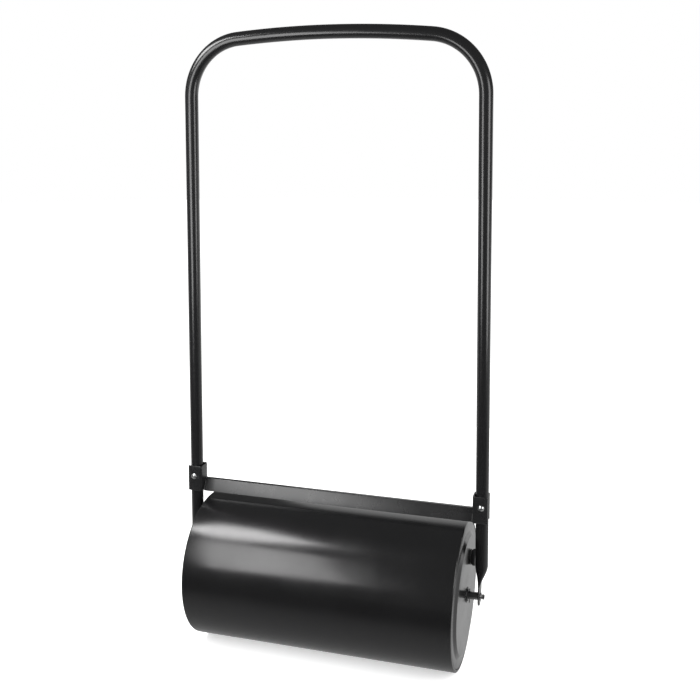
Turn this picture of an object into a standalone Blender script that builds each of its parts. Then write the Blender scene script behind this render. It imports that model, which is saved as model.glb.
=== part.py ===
"""Water-ballast lawn roller: a hollow drum turning on an axle rod under an upright bent-tube handle.

Frame: +X along the axle, +Y away from the scraper side, +Z up. The origin is on the ground, under the
middle of the drum. Metres throughout.
"""
import math

import bmesh
import bpy
from mathutils import Matrix, Vector

GAP = 0.0003                    # air between pieces that touch on the real roller
EDGE = 0.0008                   # chamfer on turned ends

# drum
DRUM_RADIUS = 0.166
DRUM_LENGTH = 0.603
SHELL_WALL = 0.0012
RIM_RADIUS = 0.0035             # rounding where the shell turns in at each end
RIM_LIP = 0.006                 # how far the shell's lip reaches in from the outside
DISC_WALL = 0.0015
DISC_FLANGE = 0.014             # length of the end disc's turned-in flange
DISC_RIM_WIDTH = 0.020          # flat ring between the flange and the raised middle
DISC_RAISE = 0.005              # how far the middle of the end disc stands out
DISC_RAMP = 0.010               # radial width of the slope up to it
HUB_TUBE_WALL = 0.0025
ROUND_STEPS = 64                # facets round the drum

# axle
AXLE_RADIUS = 0.0085
RUNNING_GAP = 0.0004            # radial play of the axle in its bushes
BUSH_WALL = 0.0038
BUSH_LENGTH = 0.024
BUSH_FLANGE = 0.0012
THRUST_WIDTH = 0.0046           # from the thrust washer's bore to its rim
THRUST_THICK = 0.0018
PIN_WIRE = 0.0015
PIN_PROUD = 0.0095              # how far each pin leg sticks out of the rod
PIN_EYE = 0.0026                # mean radius of the pin's eye

# handle tube
TUBE_RADIUS = 0.0139
TUBE_WALL = 0.0015
LEG_CLEARANCE = 0.02285         # from the drum's end to the side of the leg, at axle height
LEG_TAPER = math.radians(1.40)  # legs lean in towards the top
HANDLE_RISE = 1.1848            # axle to the middle of the tube at the top
CORNER_RADIUS = 0.119
CROWN_ANGLE = math.radians(5.16)
TAB_THICK = 0.0045              # flattened end of a leg
TAB_WIDTH = 0.040
TAB_INSET = 0.0042              # tab's middle plane inside the leg's line at the axle
TAB_TOP = 0.0235                # full flattening reaches this far above the axle
FLATTEN_LENGTH = 0.052
TAB_FLATNESS = 0.65             # 0 keeps the tab's section an ellipse, 1 makes it a box
TUBE_SIDES = 16
FLATTEN_STEPS = 7
CORNER_STEPS = 7
CROWN_STEPS = 3

# saddles and scraper bar
SADDLE_WALL = 0.003
SADDLE_HEIGHT = 0.060
SADDLE_BOLT_UP = 0.035          # bolt above the saddle's lower edge
SADDLE_BOLT_OVER_BAR = 0.010    # bolt above the bar's top edge
SADDLE_SIDE_PLAY = 0.002        # between the tube's side and the saddle's web
BEND_RADIUS = 0.002
BAR_WALL = 0.0025
BAR_WIDTH = 0.0295              # face of the scraper bar, measured along its slope
BAR_SLOPE = math.radians(25.0)  # face leans back from upright
BAR_FLANGE = 0.009              # turned back along the top edge
BAR_OVER_DRUM = 0.0363          # top edge above the drum
BAR_TOP_BACK = 0.005            # top edge behind the plane of the handle

# fasteners
SADDLE_BOLT_RADIUS = 0.003
SADDLE_HEAD_RADIUS = 0.0065
SADDLE_HEAD_HIGH = 0.0038
NUT_ACROSS = 0.010
NUT_THICK = 0.005
WASHER_WIDTH = 0.0027           # from the washer's bore to its rim
WASHER_THICK = 0.0012
AXLE_BOLT_RADIUS = 0.003
TAP_FLOOR = 0.0015              # steel left between a tapped end and the cross hole
AXLE_HEAD_HIGH = 0.005
AXLE_WASHER_RADIUS = 0.009
AXLE_WASHER_THICK = 0.0015
SPRING_RADIUS = 0.0055
SPRING_THICK = 0.0014
BOLT_END = 0.003                # thread showing beyond a nut

# filler
FILLER_INSET = 0.0475           # filler's middle in from the edge of the end disc's raised middle
FILLER_ANGLE = math.radians(30.0)       # filler round the axle from straight up, away from the scraper's face
NECK_RADIUS = 0.0155
NECK_WALL = 0.0035
NECK_PROUD = 0.002
NECK_LENGTH = 0.0165
GASKET_THICK = 0.0015
GASKET_OVERHANG = 0.001         # gasket and plug reach this far past the neck's wall
PLUG_OVERHANG = 0.003
PLUG_THICK = 0.0072
PLUG_SHANK = 0.014
PLUG_WALL = 0.0020              # wall of the plug's hollow shank
PLUG_CORE = 0.0025              # how far the hollow runs on into the cap
THREAD_PLAY = 0.0005

AXLE_Z = DRUM_RADIUS
HALF = DRUM_LENGTH / 2
DISC_OUTER = DRUM_RADIUS - RIM_LIP - GAP
DISC_FACE = HALF + DISC_RAISE
RAISED_RADIUS = DISC_OUTER - DISC_RIM_WIDTH - DISC_RAMP
FILLER_OUT = RAISED_RADIUS - FILLER_INSET           # filler's distance from the axle
FILLER_Y = FILLER_OUT * math.sin(FILLER_ANGLE)
FILLER_Z = AXLE_Z + FILLER_OUT * math.cos(FILLER_ANGLE)
RUNNING_RADIUS = AXLE_RADIUS + RUNNING_GAP
HUB_TUBE_BORE = RUNNING_RADIUS + BUSH_WALL + GAP
HUB_TUBE_RADIUS = HUB_TUBE_BORE + HUB_TUBE_WALL
LEG_HALF_SPACING = HALF + LEG_CLEARANCE + TUBE_RADIUS       # middle of each leg's line at axle height
TAB_X = LEG_HALF_SPACING - TAB_INSET
BAR_TOP_RISE = DRUM_RADIUS + BAR_OVER_DRUM
SADDLE_BOLT_RISE = BAR_TOP_RISE + SADDLE_BOLT_OVER_BAR
ALONG_X = Matrix.Rotation(math.pi / 2, 4, "Y")       # turns a +Z shape to +X


def clear_scene():
    for ob in list(bpy.data.objects):
        bpy.data.objects.remove(ob, do_unlink=True)


def new_collection(name):
    coll = bpy.data.collections.new(name)
    bpy.context.scene.collection.children.link(coll)
    return coll


clear_scene()
ROLLER = new_collection("lawn_roller")
CUTTERS = new_collection("cutters")


def material(name, color, roughness, metallic):
    mat = bpy.data.materials.get(name)
    if mat:
        return mat
    mat = bpy.data.materials.new(name)
    mat.use_nodes = True
    shader = mat.node_tree.nodes["Principled BSDF"]
    shader.inputs["Base Color"].default_value = (*color, 1.0)
    shader.inputs["Roughness"].default_value = roughness
    shader.inputs["Metallic"].default_value = metallic
    return mat


def own_finish(finish):
    """Returns a maker of one sub-part's own material in a shared finish."""
    color, roughness, metallic = finish
    return lambda name: material(name + "_finish", color, roughness, metallic)


gloss_black = own_finish(((0.012, 0.012, 0.013), 0.28, 0.0))
satin_black = own_finish(((0.016, 0.016, 0.017), 0.42, 0.0))
zinc = own_finish(((0.58, 0.59, 0.60), 0.35, 1.0))
dark_steel = own_finish(((0.10, 0.10, 0.105), 0.45, 1.0))
bush_nylon = own_finish(((0.022, 0.022, 0.022), 0.45, 0.0))
black_plastic = own_finish(((0.02, 0.02, 0.02), 0.5, 0.0))
rubber = own_finish(((0.015, 0.015, 0.015), 0.8, 0.0))


def mesh_object(name, mesh, coll=ROLLER, finish=None):
    ob = bpy.data.objects.new(name, mesh)
    coll.objects.link(ob)
    if finish:
        ob.data.materials.append(finish(name))
    return ob


def bm_object(name, bm, coll=ROLLER, finish=None):
    mesh = bpy.data.meshes.new(name)
    bm.to_mesh(mesh)
    bm.free()
    return mesh_object(name, mesh, coll, finish)


def settle(ob, angle=math.radians(32)):
    """Turns an object's modifiers into its mesh, merges doubles and shades it smooth up to an angle."""
    bpy.context.view_layer.update()
    graph = bpy.context.evaluated_depsgraph_get()
    mesh = bpy.data.meshes.new_from_object(ob.evaluated_get(graph))
    ob.modifiers.clear()
    ob.data = mesh
    mesh.shade_smooth()
    mesh.set_sharp_from_angle(angle=angle)
    return ob


def place(ob, location=(0, 0, 0), turn=None):
    ob.matrix_world = Matrix.Translation(location) @ (turn or Matrix.Identity(4))
    return ob


def side_turn(side):
    """Turns a +Z shape to +X on the filler side, or to -X on the other."""
    return ALONG_X if side > 0 else Matrix.Rotation(math.pi, 4, "Z") @ ALONG_X


def turned(name, profile, finish, closed=False, steps=20, wall=0.0, coll=ROLLER):
    """A profile of (radius, height) points, run down its outer side, turned about Z."""
    bm = bmesh.new()
    verts = [bm.verts.new((r, 0, h)) for r, h in profile]
    for a, b in zip(verts, verts[1:]):
        bm.edges.new((a, b))
    if closed:
        bm.edges.new((verts[-1], verts[0]))
    ob = bm_object(name, bm, coll, finish)
    screw = ob.modifiers.new("turn", "SCREW")
    screw.steps = screw.render_steps = steps
    screw.use_merge_vertices = True
    screw.merge_threshold = 0.00001
    if wall:
        solid = ob.modifiers.new("wall", "SOLIDIFY")
        solid.thickness = wall
        solid.offset = -1
    return settle(ob)


def ring(name, inner, outer, thick, finish, steps=20):
    """A flat ring lying on Z = 0."""
    profile = [(inner, thick), (outer, thick), (outer, 0), (inner, 0)]
    return turned(name, profile, finish, closed=True, steps=steps)


def prism(name, across, thick, finish=None, coll=ROLLER):
    """A hexagon on Z = 0, measured across its flats."""
    bm = bmesh.new()
    radius = across / 2 / math.cos(math.pi / 6)
    bmesh.ops.create_cone(bm, cap_ends=True, segments=6, radius1=radius, radius2=radius, depth=thick,
                          matrix=Matrix.Translation((0, 0, thick / 2)))
    return bm_object(name, bm, coll, finish)


def cutter_rod(name, radius, length, location, turn=None, steps=20):
    bm = bmesh.new()
    bmesh.ops.create_cone(bm, cap_ends=True, segments=steps, radius1=radius, radius2=radius, depth=length)
    ob = bm_object(name, bm, CUTTERS)
    ob.hide_render = True
    ob.display_type = "WIRE"
    return place(ob, location, turn)


def boolean(ob, other, operation="DIFFERENCE"):
    mod = ob.modifiers.new(operation.lower(), "BOOLEAN")
    mod.operation = operation
    mod.object = other
    mod.solver = "EXACT"


def arc(center, radius, start, end, count):
    """Points of an arc in the (radius, height) plane, both ends included."""
    return [(center[0] + radius * math.cos(start + (end - start) * i / count),
             center[1] + radius * math.sin(start + (end - start) * i / count)) for i in range(count + 1)]


# ---------------------------------------------------------------- drum

def make_drum_shell():
    """The open cylinder, with its two ends turned in round a small radius."""
    quarter = arc((DRUM_RADIUS - RIM_RADIUS, HALF - RIM_RADIUS), RIM_RADIUS, math.pi / 2, 0, 3)
    top = [(DRUM_RADIUS - RIM_LIP, HALF)] + quarter
    profile = top + [(r, -h) for r, h in reversed(top)]
    shell = turned("drum_shell", profile, gloss_black, steps=ROUND_STEPS, wall=SHELL_WALL)
    place(shell, (0, 0, AXLE_Z), ALONG_X)


def make_end_disc(name, side):
    """A pressed disc with a turned-in flange and a raised middle; side is +1 for the filler end."""
    corner = RIM_RADIUS - SHELL_WALL / 2
    profile = [(HUB_TUBE_RADIUS + GAP, DISC_FACE), (RAISED_RADIUS, DISC_FACE),
               (RAISED_RADIUS + DISC_RAMP, HALF)]
    profile += arc((DISC_OUTER - corner, HALF - corner), corner, math.pi / 2, 0, 2)
    profile += [(DISC_OUTER, HALF - DISC_FLANGE)]
    disc = turned(name, profile, gloss_black, steps=ROUND_STEPS, wall=DISC_WALL)
    place(disc, (0, 0, AXLE_Z), side_turn(side))
    if side > 0:
        hole = cutter_rod("neck_hole", NECK_RADIUS + GAP, 2 * NECK_LENGTH,
                          (DISC_FACE, FILLER_Y, FILLER_Z), ALONG_X, steps=24)
        boolean(disc, hole)
        settle(disc)


def make_hub_tube():
    """The pipe through the drum that keeps the water out of the axle."""
    profile = [(HUB_TUBE_BORE, DISC_FACE), (HUB_TUBE_RADIUS, DISC_FACE),
               (HUB_TUBE_RADIUS, -DISC_FACE), (HUB_TUBE_BORE, -DISC_FACE)]
    tube = turned("axle_tube", profile, dark_steel, closed=True)
    place(tube, (0, 0, AXLE_Z), ALONG_X)


def make_hub_bush(name, side):
    """A flanged plain bush pressed into the end of the axle tube."""
    bore = RUNNING_RADIUS
    body = HUB_TUBE_BORE - GAP
    seat = DISC_FACE + GAP
    profile = [(bore, seat + BUSH_FLANGE), (HUB_TUBE_RADIUS, seat + BUSH_FLANGE), (HUB_TUBE_RADIUS, seat),
               (body, seat), (body, seat - BUSH_LENGTH), (bore, seat - BUSH_LENGTH)]
    bush = turned(name, profile, bush_nylon, closed=True)
    place(bush, (0, 0, AXLE_Z), side_turn(side))


def make_filler():
    """The threaded neck through the end disc, its gasket and its screw plug."""
    mouth = DISC_FACE + NECK_PROUD
    bore = NECK_RADIUS - NECK_WALL
    neck = turned("filler_neck", [(bore, mouth), (NECK_RADIUS, mouth), (NECK_RADIUS, mouth - NECK_LENGTH),
                                  (bore, mouth - NECK_LENGTH)], dark_steel, closed=True, steps=24)
    place(neck, (0, FILLER_Y, FILLER_Z), ALONG_X)
    seat = mouth + GAP
    gasket = ring("plug_gasket", bore + GAP, NECK_RADIUS + GASKET_OVERHANG, GASKET_THICK, rubber, steps=24)
    place(gasket, (seat, FILLER_Y, FILLER_Z), ALONG_X)
    shank = bore - THREAD_PLAY
    cap = NECK_RADIUS + PLUG_OVERHANG
    under = GASKET_THICK + GAP
    hollow = shank - PLUG_WALL
    profile = [(0, under + PLUG_THICK), (cap - EDGE, under + PLUG_THICK), (cap, under + PLUG_THICK - EDGE),
               (cap, under), (shank, under), (shank, under - PLUG_SHANK), (hollow, under - PLUG_SHANK),
               (hollow, under + PLUG_CORE), (0, under + PLUG_CORE)]
    plug = turned("filler_plug", profile, black_plastic, steps=24)
    place(plug, (seat, FILLER_Y, FILLER_Z), ALONG_X)


# ---------------------------------------------------------------- axle

def pin_x():
    """Distance of the split pins from the middle: beyond the bush flange and the thrust washer."""
    return DISC_FACE + 3 * GAP + BUSH_FLANGE + THRUST_THICK + 2 * GAP + PIN_WIRE


def pin_hole():
    """Radius of the cross hole that takes both legs of a split pin."""
    return PIN_WIRE + 2 * GAP


def tap_end():
    """Distance of the bottom of a tapped hole from the middle of the rod."""
    return pin_x() + pin_hole() + TAP_FLOOR


def tab_inner():
    return TAB_X - TAB_THICK / 2


def make_axle_rod():
    """A plain rod between the two tabs, tapped at its ends and cross-drilled for the split pins."""
    reach = tab_inner() - GAP
    profile = [(0, reach), (AXLE_RADIUS - EDGE, reach), (AXLE_RADIUS, reach - EDGE),
               (AXLE_RADIUS, EDGE - reach), (AXLE_RADIUS - EDGE, -reach), (0, -reach)]
    rod = turned("axle_rod", profile, dark_steel, steps=24)
    place(rod, (0, 0, AXLE_Z), ALONG_X)
    for side in (-1, 1):
        depth = reach - tap_end()
        tap = cutter_rod("tap", AXLE_BOLT_RADIUS + GAP, 2 * depth, (side * reach, 0, AXLE_Z), ALONG_X)
        cross = cutter_rod("pin_hole", pin_hole(), 4 * AXLE_RADIUS, (side * pin_x(), 0, AXLE_Z), steps=12)
        boolean(rod, tap)
        boolean(rod, cross)
    settle(rod)


def make_thrust_washer(name, side):
    washer = ring(name, RUNNING_RADIUS, RUNNING_RADIUS + THRUST_WIDTH, THRUST_THICK, dark_steel)
    place(washer, (side * (DISC_FACE + 2 * GAP + BUSH_FLANGE), 0, AXLE_Z), side_turn(side))


def make_split_pin(name, side):
    """A hairpin of round wire: eye above the rod, legs through it and spread a little below."""
    half = PIN_WIRE / 2 + GAP / 3
    eye_z = AXLE_RADIUS + PIN_EYE + PIN_WIRE
    foot = math.asin(half / PIN_EYE)
    eye = [(PIN_EYE * math.sin(foot + (math.tau - 2 * foot) * i / 10),
            eye_z - PIN_EYE * math.cos(foot + (math.tau - 2 * foot) * i / 10)) for i in range(11)]
    spread = PIN_WIRE
    right = [(half + spread, -AXLE_RADIUS - PIN_PROUD), (half, -AXLE_RADIUS)]
    points = right + eye + [(-x, z) for x, z in reversed(right)]
    curve = bpy.data.curves.new(name, "CURVE")
    curve.dimensions = "3D"
    curve.bevel_depth = PIN_WIRE / 2
    curve.bevel_resolution = 2
    curve.use_fill_caps = True
    spline = curve.splines.new("POLY")
    spline.points.add(len(points) - 1)
    for point, (y, z) in zip(spline.points, points):
        point.co = (0, y, z, 1)
    pin = mesh_object(name, curve, finish=dark_steel)
    place(pin, (side * pin_x(), 0, AXLE_Z))


def make_axle_bolt(name, side):
    """The set screw that clamps a tab and its washers to the end of the axle rod."""
    seat = TAB_X + TAB_THICK / 2 + 3 * GAP + AXLE_WASHER_THICK + SPRING_THICK
    tip = tap_end() + GAP
    shank = turned(name, [(0, seat + AXLE_HEAD_HIGH / 2), (AXLE_BOLT_RADIUS, seat + AXLE_HEAD_HIGH / 2),
                          (AXLE_BOLT_RADIUS, tip), (0, tip)], dark_steel, steps=18)
    head = prism(name + "_head", NUT_ACROSS, AXLE_HEAD_HIGH, coll=CUTTERS)
    head.hide_render = True
    head.display_type = "WIRE"
    place(shank, (0, 0, AXLE_Z), side_turn(side))
    place(head, (side * seat, 0, AXLE_Z), side_turn(side))
    boolean(shank, head, "UNION")
    settle(shank)


def make_axle_washers(side, word):
    out = TAB_X + TAB_THICK / 2 + GAP
    bore = AXLE_BOLT_RADIUS + GAP
    washer = ring(word + "_axle_washer", bore, AXLE_WASHER_RADIUS, AXLE_WASHER_THICK, zinc)
    place(washer, (side * out, 0, AXLE_Z), side_turn(side))
    spring = ring(word + "_axle_spring_washer", bore, SPRING_RADIUS, SPRING_THICK, zinc)
    place(spring, (side * (out + AXLE_WASHER_THICK + GAP), 0, AXLE_Z), side_turn(side))


# ---------------------------------------------------------------- handle

def leg_x(rise):
    """Middle of a leg at a height above the axle, above the flattened part."""
    return LEG_HALF_SPACING - rise * math.tan(LEG_TAPER)


def flatness(rise):
    """1 in the tab, 0 in the round leg, easing between them."""
    t = min(1.0, max(0.0, (TAB_TOP + FLATTEN_LENGTH - rise) / FLATTEN_LENGTH))
    return t * t * (3 - 2 * t)


def handle_stations():
    """Right half of the handle from the tab's foot to the crown's middle: centre, in-plane normal, rise."""
    foot = TAB_WIDTH / 2
    last = math.radians(77)                      # the round foot stops here, leaving the tube's mouth
    steps = [last * (1 - i / 4) for i in range(5)]
    stations = [(-foot * math.sin(step), foot * math.cos(step)) for step in steps]
    stations += [(TAB_TOP * 0.5, foot), (TAB_TOP, foot)]
    stations += [(TAB_TOP + FLATTEN_LENGTH * i / FLATTEN_STEPS, None) for i in range(1, FLATTEN_STEPS + 1)]
    rings = []
    lean = Vector((math.cos(LEG_TAPER), 0, math.sin(LEG_TAPER)))
    for rise, half_width in stations:
        flat = flatness(rise)
        x = leg_x(rise) - (TAB_INSET - rise * math.tan(LEG_TAPER)) * flat
        upright = Vector((1, 0, 0)).lerp(lean, 1 - flat).normalized()
        rings.append((Vector((x, 0, AXLE_Z + rise)), upright, flat, half_width))
    beta, taper, rc = CROWN_ANGLE, LEG_TAPER, CORNER_RADIUS
    straight = HANDLE_RISE - rc * (math.cos(beta) - math.sin(taper))
    span = LEG_HALF_SPACING - rc * (math.cos(taper) - math.sin(beta)) - math.tan(taper) * straight
    crown = span / (math.sin(beta) - math.tan(taper) * (1 - math.cos(beta)))
    top = AXLE_Z + HANDLE_RISE
    corner = Vector(((crown - rc) * math.sin(beta), 0, top - crown + (crown - rc) * math.cos(beta)))
    for i in range(CORNER_STEPS + 1):
        slope = taper + (math.pi / 2 - beta - taper) * i / CORNER_STEPS
        out = Vector((math.cos(slope), 0, math.sin(slope)))
        rings.append((corner + out * rc, out, 0.0, None))
    for i in range(1, CROWN_STEPS + 1):
        lean_back = beta * (1 - i / CROWN_STEPS)
        out = Vector((math.sin(lean_back), 0, math.cos(lean_back)))
        rings.append((Vector((0, 0, top - crown)) + out * crown, out, 0.0, None))
    return rings


def section(center, out, flat, half_width, inset):
    """Ring of points: a circle in the leg, a flat-sided oval in the tab, shrunk by inset for the bore."""
    thick = TUBE_RADIUS + (TAB_THICK / 2 - TUBE_RADIUS) * flat - inset
    full = TUBE_RADIUS + (TAB_WIDTH / 2 - TUBE_RADIUS) * flat
    wide = (full if half_width is None else half_width) - inset
    power = 1.0 - TAB_FLATNESS * flat
    points = []
    for i in range(TUBE_SIDES):
        angle = math.tau * (i + 0.5) / TUBE_SIDES
        across = math.copysign(abs(math.cos(angle)) ** power, math.cos(angle)) * thick
        points.append(center + out * across + Vector((0, math.sin(angle) * wide, 0)))
    return points


def make_handle_tube():
    """One tube from tab to tab: a loft from flat ends through round legs and the crowned top."""
    half = handle_stations()
    mirrored = [(Vector((-c.x, 0, c.z)), Vector((-o.x, 0, o.z)), f, w) for c, o, f, w in half[:-1]]
    stations = half + mirrored[::-1]
    bm = bmesh.new()
    skins = []
    for inset in (0.0, TUBE_WALL):
        skins.append([[bm.verts.new(p) for p in section(*s, inset)] for s in stations])
    for skin in skins:
        for a, b in zip(skin, skin[1:]):
            for i in range(TUBE_SIDES):
                j = (i + 1) % TUBE_SIDES
                bm.faces.new((a[i], a[j], b[j], b[i]))
    for end in (0, -1):
        outer, inner = skins[0][end], skins[1][end]
        for i in range(TUBE_SIDES):
            j = (i + 1) % TUBE_SIDES
            bm.faces.new((outer[i], outer[j], inner[j], inner[i]))
    bmesh.ops.recalc_face_normals(bm, faces=bm.faces)
    tube = bm_object("handle_tube", bm, finish=gloss_black)
    for side in (-1, 1):
        axle_hole = cutter_rod("tab_hole", AXLE_BOLT_RADIUS + GAP, 4 * TAB_THICK,
                               (side * TAB_X, 0, AXLE_Z), ALONG_X)
        bolt_hole = cutter_rod("leg_hole", SADDLE_BOLT_RADIUS + GAP, 4 * TUBE_RADIUS,
                               (side * leg_x(SADDLE_BOLT_RISE), 0, AXLE_Z + SADDLE_BOLT_RISE),
                               Matrix.Rotation(math.pi / 2, 4, "X"), steps=12)
        boolean(tube, axle_hole)
        boolean(tube, bolt_hole)
    settle(tube)


# ---------------------------------------------------------------- saddles and bar

def bent_path(corners, radius, count=3):
    """Replaces each inner corner of an open path by an arc of the given radius."""
    path = [Vector(corners[0])]
    for a, b, c in zip(corners, corners[1:], corners[2:]):
        a, b, c = Vector(a), Vector(b), Vector(c)
        to_a, to_c = (a - b).normalized(), (c - b).normalized()
        half = to_a.angle(to_c) / 2
        middle = b + (to_a + to_c).normalized() * (radius / math.sin(half))
        start = (b + to_a * (radius / math.tan(half)) - middle).normalized()
        end = (b + to_c * (radius / math.tan(half)) - middle).normalized()
        path += [middle + start.slerp(end, i / count) * radius for i in range(count + 1)]
    return path + [Vector(corners[-1])]


def folded(name, path, low, high, axis, wall, finish):
    """A sheet folded along a path, run out between two values along axis, given its wall by Solidify."""
    bm = bmesh.new()
    rows = [[bm.verts.new(p + axis * level) for p in path] for level in (low, high)]
    for i in range(len(path) - 1):
        bm.faces.new((rows[0][i], rows[0][i + 1], rows[1][i + 1], rows[1][i]))
    ob = bm_object(name, bm, finish=finish)
    solid = ob.modifiers.new("wall", "SOLIDIFY")
    solid.thickness = wall
    solid.offset = 1
    solid.use_even_offset = True
    return ob


def web_inner():
    """How far inside the leg's middle the drum side of a saddle's web lies."""
    return TUBE_RADIUS + SADDLE_SIDE_PLAY + SADDLE_WALL


def make_saddle(name, side):
    """A U round the leg: front plate, web on the drum side, back plate, leaning with the leg."""
    front = TUBE_RADIUS + GAP
    web = TUBE_RADIUS + SADDLE_SIDE_PLAY
    corners = [(side * TUBE_RADIUS, -front, 0), (-side * web, -front, 0),
               (-side * web, front, 0), (side * TUBE_RADIUS, front, 0)]
    if side > 0:
        corners.reverse()
    path = bent_path(corners, BEND_RADIUS)
    low = -SADDLE_BOLT_UP
    saddle = folded(name, path, low, low + SADDLE_HEIGHT, Vector((0, 0, 1)), SADDLE_WALL, satin_black)
    spot = (side * leg_x(SADDLE_BOLT_RISE), 0, AXLE_Z + SADDLE_BOLT_RISE)
    place(saddle, spot, Matrix.Rotation(-side * LEG_TAPER, 4, "Y"))
    hole = cutter_rod(name + "_hole", SADDLE_BOLT_RADIUS + GAP, 6 * TUBE_RADIUS, spot,
                      Matrix.Rotation(math.pi / 2, 4, "X"), steps=18)
    boolean(saddle, hole)
    settle(saddle)


def make_scraper_bar():
    """A sloping strip between the saddles with its top edge turned back; its ends lean with the webs."""
    top = Vector((0, BAR_TOP_BACK, AXLE_Z + BAR_TOP_RISE))
    down = Vector((0, -math.sin(BAR_SLOPE), -math.cos(BAR_SLOPE)))
    path = bent_path([top + down * BAR_WIDTH, top, top + Vector((0, BAR_FLANGE, 0))], BEND_RADIUS)
    reach = leg_x(BAR_TOP_RISE) - web_inner() / math.cos(LEG_TAPER) - GAP
    bar = folded("scraper_bar", path, -reach, reach, Vector((1, 0, 0)), BAR_WALL, satin_black)
    for vert in bar.data.vertices:
        lean = math.tan(LEG_TAPER) * (top.z - vert.co.z)
        vert.co.x += math.copysign(lean, vert.co.x)
    settle(bar)


def make_saddle_fasteners(side, word):
    """Domed bolt from the front, washer and nut at the back."""
    x = side * leg_x(SADDLE_BOLT_RISE)
    z = AXLE_Z + SADDLE_BOLT_RISE
    face = TUBE_RADIUS + GAP + SADDLE_WALL + GAP
    to_front = Matrix.Rotation(math.pi / 2, 4, "X")           # +Z to -Y
    to_back = Matrix.Rotation(-math.pi / 2, 4, "X")           # +Z to +Y
    nut_end = face + WASHER_THICK + GAP + NUT_THICK
    high = SADDLE_HEAD_HIGH
    sphere = (SADDLE_HEAD_RADIUS ** 2 + high ** 2) / (2 * high)
    rim = math.asin(SADDLE_HEAD_RADIUS / sphere)
    dome = [(sphere * math.sin(rim * i / 4), face + high - sphere * (1 - math.cos(rim * i / 4)))
            for i in range(5)]
    tip = -nut_end - BOLT_END
    profile = dome + [(SADDLE_BOLT_RADIUS, face), (SADDLE_BOLT_RADIUS, tip), (0, tip)]
    bolt = turned(word + "_saddle_bolt", profile, zinc, steps=20)
    place(bolt, (x, 0, z), to_front)
    hole = SADDLE_BOLT_RADIUS + GAP
    washer = ring(word + "_saddle_washer", hole, hole + WASHER_WIDTH, WASHER_THICK, zinc)
    place(washer, (x, face, z), to_back)
    nut = prism(word + "_saddle_nut", NUT_ACROSS, NUT_THICK, zinc)
    place(nut, (x, face + WASHER_THICK + GAP, z), to_back)
    bore = cutter_rod(word + "_nut_bore", hole, 4 * NUT_THICK, (x, nut_end, z), to_back, steps=18)
    boolean(nut, bore)
    settle(nut)


# ---------------------------------------------------------------- assembly

make_handle_tube()
make_scraper_bar()
make_axle_rod()
make_drum_shell()
make_hub_tube()
make_filler()
for side, word in ((-1, "left"), (1, "right")):
    make_saddle(word + "_saddle", side)
    make_saddle_fasteners(side, word)
    make_end_disc(word + "_end_disc", side)
    make_hub_bush(word + "_hub_bush", side)
    make_thrust_washer(word + "_thrust_washer", side)
    make_split_pin(word + "_split_pin", side)
    make_axle_washers(side, word)
    make_axle_bolt(word + "_axle_bolt", side)
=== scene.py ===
import math

import bmesh
import bpy
from mathutils import Matrix, Vector


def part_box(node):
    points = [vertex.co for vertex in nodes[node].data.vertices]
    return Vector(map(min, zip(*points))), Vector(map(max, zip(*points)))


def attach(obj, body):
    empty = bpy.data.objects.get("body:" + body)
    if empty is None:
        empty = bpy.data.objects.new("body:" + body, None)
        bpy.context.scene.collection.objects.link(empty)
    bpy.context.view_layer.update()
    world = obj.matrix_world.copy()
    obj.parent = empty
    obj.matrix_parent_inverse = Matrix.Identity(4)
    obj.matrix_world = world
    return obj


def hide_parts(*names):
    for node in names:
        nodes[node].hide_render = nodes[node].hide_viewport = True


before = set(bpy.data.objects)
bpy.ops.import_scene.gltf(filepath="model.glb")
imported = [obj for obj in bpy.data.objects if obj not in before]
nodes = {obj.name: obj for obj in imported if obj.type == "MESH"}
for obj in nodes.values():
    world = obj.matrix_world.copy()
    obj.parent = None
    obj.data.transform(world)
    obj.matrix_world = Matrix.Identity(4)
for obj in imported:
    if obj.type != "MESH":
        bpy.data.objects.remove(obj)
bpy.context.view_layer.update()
print("frame loaded:", len(nodes), "nodes")

# where things are, read from the frame

shellLow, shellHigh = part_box("drum_shell")
axleZ = (shellLow.z + shellHigh.z) / 2
drumRadius = (shellHigh.z - shellLow.z) / 2
drumHalf = shellHigh.x
axlePoint = Vector((0, 0, axleZ))
alongX = Matrix.Rotation(math.pi / 2, 4, "Y")        # lays a +Z shape along +X
toFront = Matrix.Rotation(math.pi / 2, 4, "X")       # +Z to -Y
toBack = Matrix.Rotation(-math.pi / 2, 4, "X")       # +Z to +Y
sides = ((-1, "left"), (1, "right"))
boltHole = 0.0033          # radius of a hole that an M6 bolt passes through


def sideTurn(side):
    return alongX if side > 0 else Matrix.Rotation(math.pi, 4, "Z") @ alongX


def middle(node):
    low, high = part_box(node)
    return (low + high) / 2


def reach(node):
    low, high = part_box(node)
    return high - low


# mesh helpers

def linked(name, data):
    made = bpy.data.objects.new(name, data)
    bpy.context.scene.collection.objects.link(made)
    return made


def meshFrom(bm, name):
    mesh = bpy.data.meshes.new(name)
    bm.to_mesh(mesh)
    bm.free()
    return mesh


def finishMesh(bm, name, material, sharpAngle=34):
    bmesh.ops.remove_doubles(bm, verts=bm.verts, dist=1e-6)
    bmesh.ops.recalc_face_normals(bm, faces=bm.faces)
    return meshPiece(meshFrom(bm, name), name, material, sharpAngle)


def meshPiece(mesh, name, material, sharpAngle=34):
    mesh.name = name
    mesh.materials.clear()
    mesh.materials.append(material)
    mesh.shade_smooth()
    mesh.set_sharp_from_angle(angle=math.radians(sharpAngle))
    return linked(name, mesh)


def baked(piece):       # the modifiers become plain mesh
    bpy.context.view_layer.update()
    mesh = bpy.data.meshes.new_from_object(piece.evaluated_get(bpy.context.evaluated_depsgraph_get()))
    piece.modifiers.clear()
    old = piece.data
    piece.data = mesh
    if isinstance(old, bpy.types.Mesh):
        bpy.data.meshes.remove(old)
    return piece


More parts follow.
